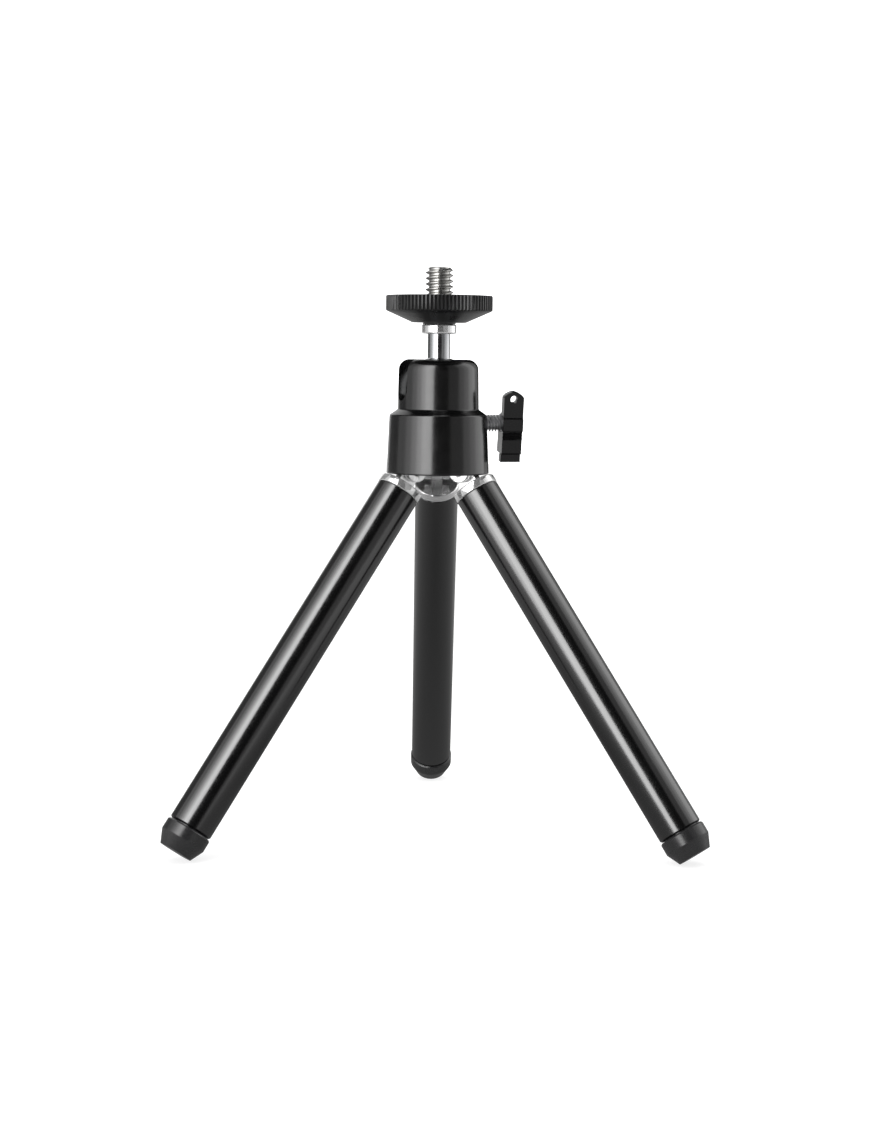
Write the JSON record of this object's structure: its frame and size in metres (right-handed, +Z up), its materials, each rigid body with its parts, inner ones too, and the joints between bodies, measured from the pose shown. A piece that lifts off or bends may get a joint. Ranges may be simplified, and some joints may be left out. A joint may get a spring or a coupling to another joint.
{
  "type": "tabletop tripod",
  "caption": "Mini tabletop tripod with fold-in tube legs, a slotted ball head locked by a wing screw, and a quarter-inch camera stud with a knurled lock disc.",
  "frame": {"origin": "on the table plane under the head's upright axis, at the centre of the feet", "axes": "+Z up along the head and camera stud, +Y over the back leg, +X to the side where the clamp screw sticks out"},
  "size_m": [0.1194, 0.105, 0.1297],
  "materials": {
    "housing_paint": "satin black baked paint on a zinc casting",
    "leg_paint": "gloss black baked paint on thin steel tube",
    "chrome": "bright chrome plate",
    "stud_steel": "bright nickel-plated machined steel",
    "steel": "zinc-plated machined steel",
    "brass": "plain machined brass",
    "disc_plastic": "black moulded plastic with a fine satin sheen",
    "knob_plastic": "black moulded plastic, glossy",
    "liner_plastic": "natural low-friction plastic",
    "foot_rubber": "black rubber, semi-matte"
  },
  "bodies": {
    "base": {"housing": "housing_paint", "base_plug": "steel", "leg_hub": "chrome", "hub_screw": "steel", "hinge_pin_back": "steel", "hinge_pin_left": "steel", "hinge_pin_right": "steel"},
    "leg_back": {"leg_cap_back": "chrome", "leg_tube_back": "leg_paint", "foot_back": "foot_rubber"},
    "leg_left": {"leg_cap_left": "chrome", "leg_tube_left": "leg_paint", "foot_left": "foot_rubber"},
    "leg_right": {"leg_cap_right": "chrome", "leg_tube_right": "leg_paint", "foot_right": "foot_rubber"},
    "ball_seat": {"ball_liner": "liner_plastic"},
    "ball_tilt": {"ball": "chrome", "stem_collar": "chrome"},
    "stem_turn": {"stem": "chrome", "camera_stud": "stud_steel"},
    "disc_thread": {"disc_insert": "brass"},
    "disc": {"lock_disc": "disc_plastic"},
    "cup": {"clamp_cup": "brass"},
    "clamp_point": {"pressure_point": "brass"},
    "clamp_screw": {"thumb_screw": "steel", "thumb_knob": "knob_plastic"}
  },
  "joints": [
    {"name": "leg_fold_back", "type": "hinge", "parent": "base", "child": "leg_back", "pos_m": [0, 0.007, 0.08377], "axis": [-1, 0, 0], "range_deg": [0, 35.5]},
    {"name": "leg_fold_left", "type": "hinge", "parent": "base", "child": "leg_left", "pos_m": [-0.00606, -0.0035, 0.08377], "axis": [0.5, -0.866, 0], "range_deg": [0, 35.5]},
    {"name": "leg_fold_right", "type": "hinge", "parent": "base", "child": "leg_right", "pos_m": [0.00606, -0.0035, 0.08377], "axis": [0.5, 0.866, 0], "range_deg": [0, 35.5]},
    {"name": "head_side_tilt", "type": "hinge", "parent": "base", "child": "ball_seat", "pos_m": [0, 0, 0.1024], "axis": [-0.9336, -0.3584, 0], "range_deg": [-12, 12]},
    {"name": "head_tilt", "type": "hinge", "parent": "ball_seat", "child": "ball_tilt", "pos_m": [0, 0, 0.1024], "axis": [0.3584, -0.9336, 0], "range_deg": [-12, 90]},
    {"name": "head_turn", "type": "hinge", "parent": "ball_tilt", "child": "stem_turn", "pos_m": [0, 0, 0.1024], "axis": [0, 0, 1], "continuous": true},
    {"name": "lock_disc_rise", "type": "slide", "parent": "stem_turn", "child": "disc_thread", "axis": [0, 0, 1], "range_m": [0, 0.00381]},
    {"name": "lock_disc_turn", "type": "hinge", "parent": "disc_thread", "child": "disc", "pos_m": [0, 0, 0.12], "axis": [0, 0, 1], "range_deg": [0, 1080]},
    {"name": "clamp_cup_drop", "type": "slide", "parent": "base", "child": "cup", "axis": [0, 0, -1], "range_m": [0, 0.0003]},
    {"name": "clamp_screw_travel", "type": "slide", "parent": "base", "child": "clamp_point", "axis": [0.9781, 0.2079, 0], "range_m": [0, 0.0014]},
    {"name": "clamp_screw_turn", "type": "hinge", "parent": "clamp_point", "child": "clamp_screw", "pos_m": [0.01174, 0.00249, 0.0946], "axis": [0.9781, 0.2079, 0], "range_deg": [0, 720]}
  ],
  "couplings": [
    {"joint": "lock_disc_turn", "follows": "lock_disc_rise", "rad_per_m": 4947.4},
    {"joint": "clamp_screw_turn", "follows": "clamp_screw_travel", "rad_per_m": 8976},
    {"joint": "clamp_cup_drop", "follows": "clamp_screw_travel", "ratio": 0.2136}
  ]
}
